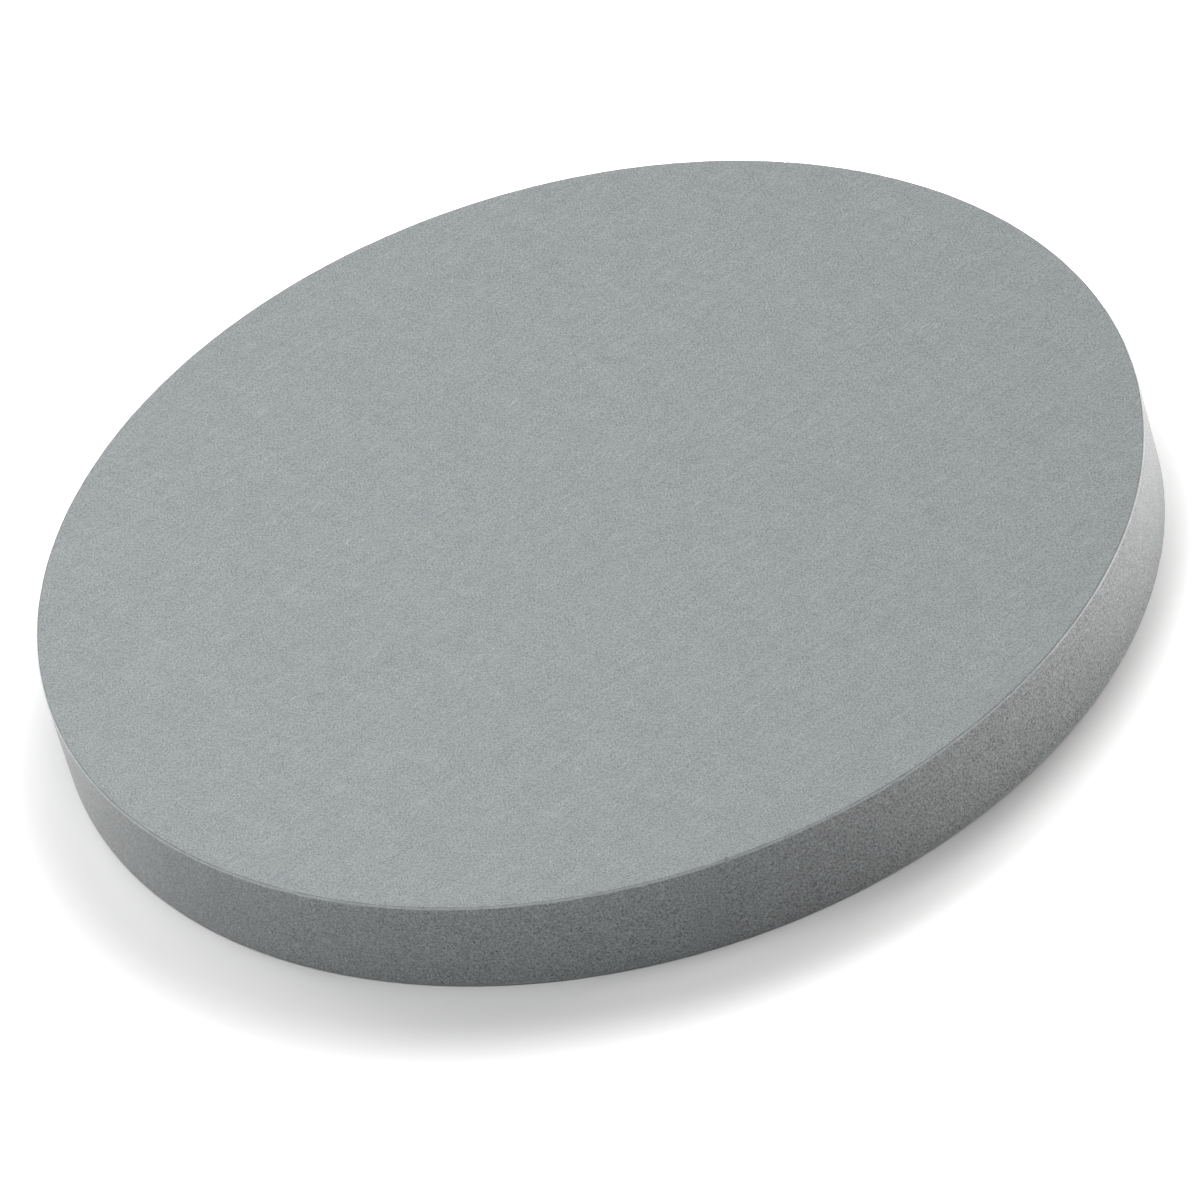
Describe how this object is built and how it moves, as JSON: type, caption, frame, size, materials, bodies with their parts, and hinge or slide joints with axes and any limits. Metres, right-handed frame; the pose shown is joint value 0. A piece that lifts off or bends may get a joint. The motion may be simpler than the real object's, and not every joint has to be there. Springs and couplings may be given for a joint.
{
  "type": "sputtering target",
  "caption": "Flat round ceramic disc with ground faces and a plain ground rim, a planar target that a sputtering cathode wears away to coat a surface.",
  "frame": {"origin": "centre of the back face, the face that lies on the table and goes against the cathode", "axes": "+Z along the disc's axis, out of the sputtered face; +X and +Y are two radii that no feature tells apart"},
  "size_m": [0.0762, 0.0762, 0.0069],
  "materials": {
    "sintered_body": "matte"
  },
  "bodies": {
    "root": {"target_disc": "sintered_body"}
  },
  "joints": []
}
